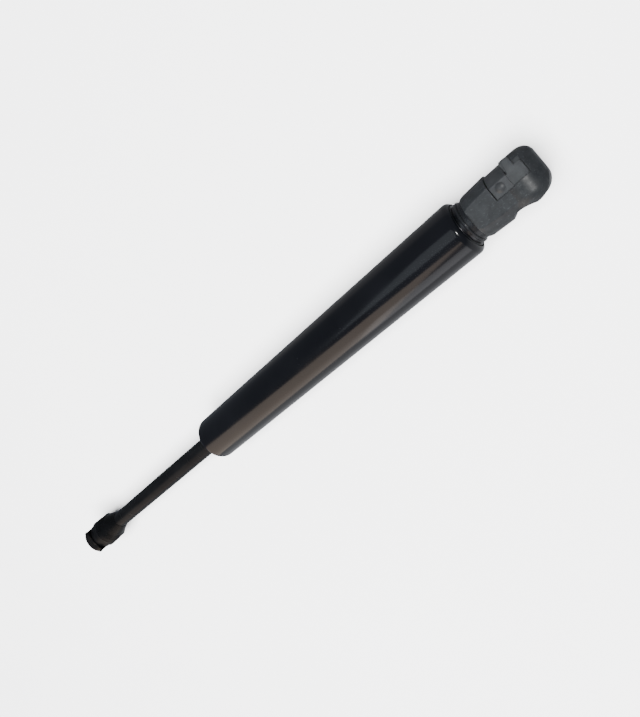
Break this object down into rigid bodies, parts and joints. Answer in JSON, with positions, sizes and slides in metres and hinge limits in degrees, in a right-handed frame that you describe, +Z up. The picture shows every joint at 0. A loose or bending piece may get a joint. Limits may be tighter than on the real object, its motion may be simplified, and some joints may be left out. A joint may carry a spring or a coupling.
{
  "type": "gas strut stay",
  "caption": "Gas-pressurised strut stay with a sliding, turning rod and a ball socket with a spring clip at each end, for holding a flap, window or shutter open.",
  "frame": {"origin": "centre of the ball seat in the end fitting on the closed end of the cylinder", "axes": "+X along the strut from the cylinder end towards the rod end, +Y out of the mouth of that ball seat, +Z up"},
  "size_m": [0.2868, 0.019, 0.019],
  "materials": {
    "tube_paint": "gloss",
    "rod_finish": "gloss",
    "socket_plastic": "satin",
    "rod_socket_plastic": "satin",
    "clip_steel": "satin",
    "plug_steel": "satin",
    "zinc_steel": "satin",
    "seal_rubber": "matte",
    "guide_plastic": "matte",
    "bush_bronze": "satin",
    "piston_metal": "satin",
    "ring_polymer": "satin"
  },
  "bodies": {
    "cylinder": {"pressure_tube": "tube_paint", "end_plug": "plug_steel", "end_plug_seal": "seal_rubber", "stud_washer": "plug_steel", "rod_guide": "guide_plastic", "guide_bush": "bush_bronze", "guide_seal": "seal_rubber", "wiper_ring": "seal_rubber", "rod_seal": "seal_rubber", "seal_washer": "zinc_steel", "stop_sleeve": "guide_plastic", "head_socket": "socket_plastic"},
    "head_clip": {"head_clip": "clip_steel"},
    "ring_carriage": {"piston_ring": "ring_polymer"},
    "rod": {"piston_rod": "rod_finish", "support_washer": "zinc_steel", "piston": "piston_metal", "valve_disc": "zinc_steel", "retaining_washer": "zinc_steel", "rod_socket": "rod_socket_plastic"},
    "rod_clip": {"rod_clip": "clip_steel"}
  },
  "joints": [
    {"name": "rod_slide", "type": "slide", "parent": "cylinder", "child": "ring_carriage", "axis": [1, 0, 0], "range_m": [-0.085, 0], "stiffness_N_per_m": 350, "springref_m": 0.2857},
    {"name": "rod_spin", "type": "hinge", "parent": "ring_carriage", "child": "rod", "pos_m": [0.2, 0, 0], "axis": [1, 0, 0], "continuous": true},
    {"name": "head_clip_release", "type": "slide", "parent": "cylinder", "child": "head_clip", "axis": [0, -1, 0], "range_m": [0, 0.001], "stiffness_N_per_m": 500},
    {"name": "rod_clip_release", "type": "slide", "parent": "rod", "child": "rod_clip", "axis": [0, 0, 1], "range_m": [0, 0.001], "stiffness_N_per_m": 500}
  ]
}
